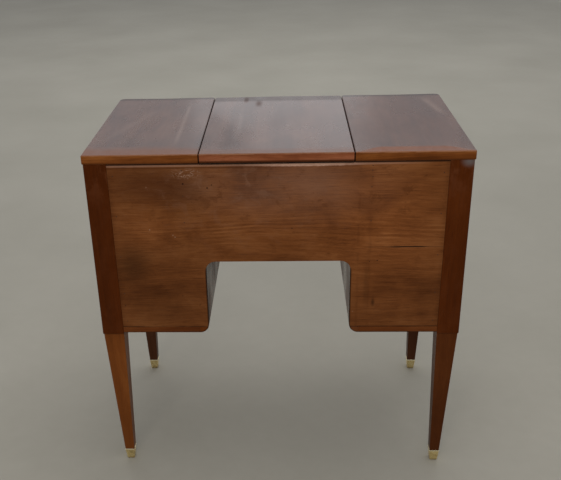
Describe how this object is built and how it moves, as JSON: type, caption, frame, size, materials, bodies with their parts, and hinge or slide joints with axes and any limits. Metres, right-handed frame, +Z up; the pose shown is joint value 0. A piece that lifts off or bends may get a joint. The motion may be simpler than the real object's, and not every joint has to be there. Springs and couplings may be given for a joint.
{
  "type": "vanity table with mirror",
  "caption": "Free-standing vanity table with a kneehole, drawers, side wells under folding lids and a lifting middle lid with a mirror under it, on tapered legs with brass shoes.",
  "frame": {"origin": "on the floor, under the middle of the overall width and depth (knobs and hinge barrels included)", "axes": "+Z up; -Y is the side the user sits at, +Y is the plain back; -X is the left of a seated user"},
  "size_m": [0.8012, 0.4652, 0.792],
  "materials": {
    "walnut": "satin lacquer, horizontal grain",
    "dark_wood": "dark polished lacquer",
    "inner_wood": "matt",
    "brass": "polished, slightly worn",
    "mirror": "silvered glass"
  },
  "bodies": {
    "case": {"post_front_left": "dark_wood", "post_front_right": "dark_wood", "post_back_left": "dark_wood", "post_back_right": "dark_wood", "leg_front_left": "dark_wood", "leg_front_right": "dark_wood", "leg_back_left": "dark_wood", "leg_back_right": "dark_wood", "sabot_front_left": "brass", "sabot_front_right": "brass", "sabot_back_left": "brass", "sabot_back_right": "brass", "back_panel": "walnut", "front_apron": "walnut", "end_panel_left": "walnut", "end_panel_right": "walnut", "kneehole_side_left": "dark_wood", "kneehole_side_right": "dark_wood", "round_edge_left": "dark_wood", "round_edge_right": "dark_wood", "kneehole_top": "dark_wood", "pedestal_bottom_left": "dark_wood", "pedestal_bottom_right": "dark_wood", "well_floor_left": "inner_wood", "well_floor_right": "inner_wood", "well_floor_middle": "inner_wood", "hinge_left_front_case_leaf": "brass", "hinge_left_back_case_leaf": "brass", "hinge_right_front_case_leaf": "brass", "hinge_right_back_case_leaf": "brass", "hinge_middle_case_leaf": "brass"},
    "lid_left": {"lid_left": "dark_wood", "hinge_left_front_lid_leaf": "brass", "hinge_left_back_lid_leaf": "brass"},
    "lid_right": {"lid_right": "dark_wood", "hinge_right_front_lid_leaf": "brass", "hinge_right_back_lid_leaf": "brass"},
    "lid_middle": {"lid_middle": "dark_wood", "mirror_frame": "walnut", "mirror_glass": "mirror", "hinge_middle_lid_leaf": "brass"},
    "drawer_left": {"drawer_left_front": "walnut", "drawer_left_side_a": "inner_wood", "drawer_left_side_b": "inner_wood", "drawer_left_back": "inner_wood", "drawer_left_bottom": "inner_wood", "drawer_left_knob": "brass"},
    "drawer_right": {"drawer_right_front": "walnut", "drawer_right_side_a": "inner_wood", "drawer_right_side_b": "inner_wood", "drawer_right_back": "inner_wood", "drawer_right_bottom": "inner_wood", "drawer_right_knob": "brass"},
    "drawer_middle": {"drawer_middle_front": "walnut", "drawer_middle_side_a": "inner_wood", "drawer_middle_side_b": "inner_wood", "drawer_middle_back": "inner_wood", "drawer_middle_bottom": "inner_wood", "drawer_middle_knob": "brass"}
  },
  "joints": [
    {"name": "lid_left_hinge", "type": "hinge", "parent": "case", "child": "lid_left", "pos_m": [-0.39925, 0.01, 0.7706], "axis": [0, -1, 0], "range_deg": [0, 180]},
    {"name": "lid_right_hinge", "type": "hinge", "parent": "case", "child": "lid_right", "pos_m": [0.39925, 0.01, 0.7706], "axis": [0, 1, 0], "range_deg": [0, 180]},
    {"name": "lid_middle_hinge", "type": "hinge", "parent": "case", "child": "lid_middle", "pos_m": [0, 0.2312, 0.7706], "axis": [-1, 0, 0], "range_deg": [0, 100]},
    {"name": "drawer_left_slide", "type": "slide", "parent": "case", "child": "drawer_left", "axis": [0, -1, 0], "range_m": [0, 0.3]},
    {"name": "drawer_right_slide", "type": "slide", "parent": "case", "child": "drawer_right", "axis": [0, -1, 0], "range_m": [0, 0.3]},
    {"name": "drawer_middle_slide", "type": "slide", "parent": "case", "child": "drawer_middle", "axis": [0, -1, 0], "range_m": [0, 0.28]}
  ]
}
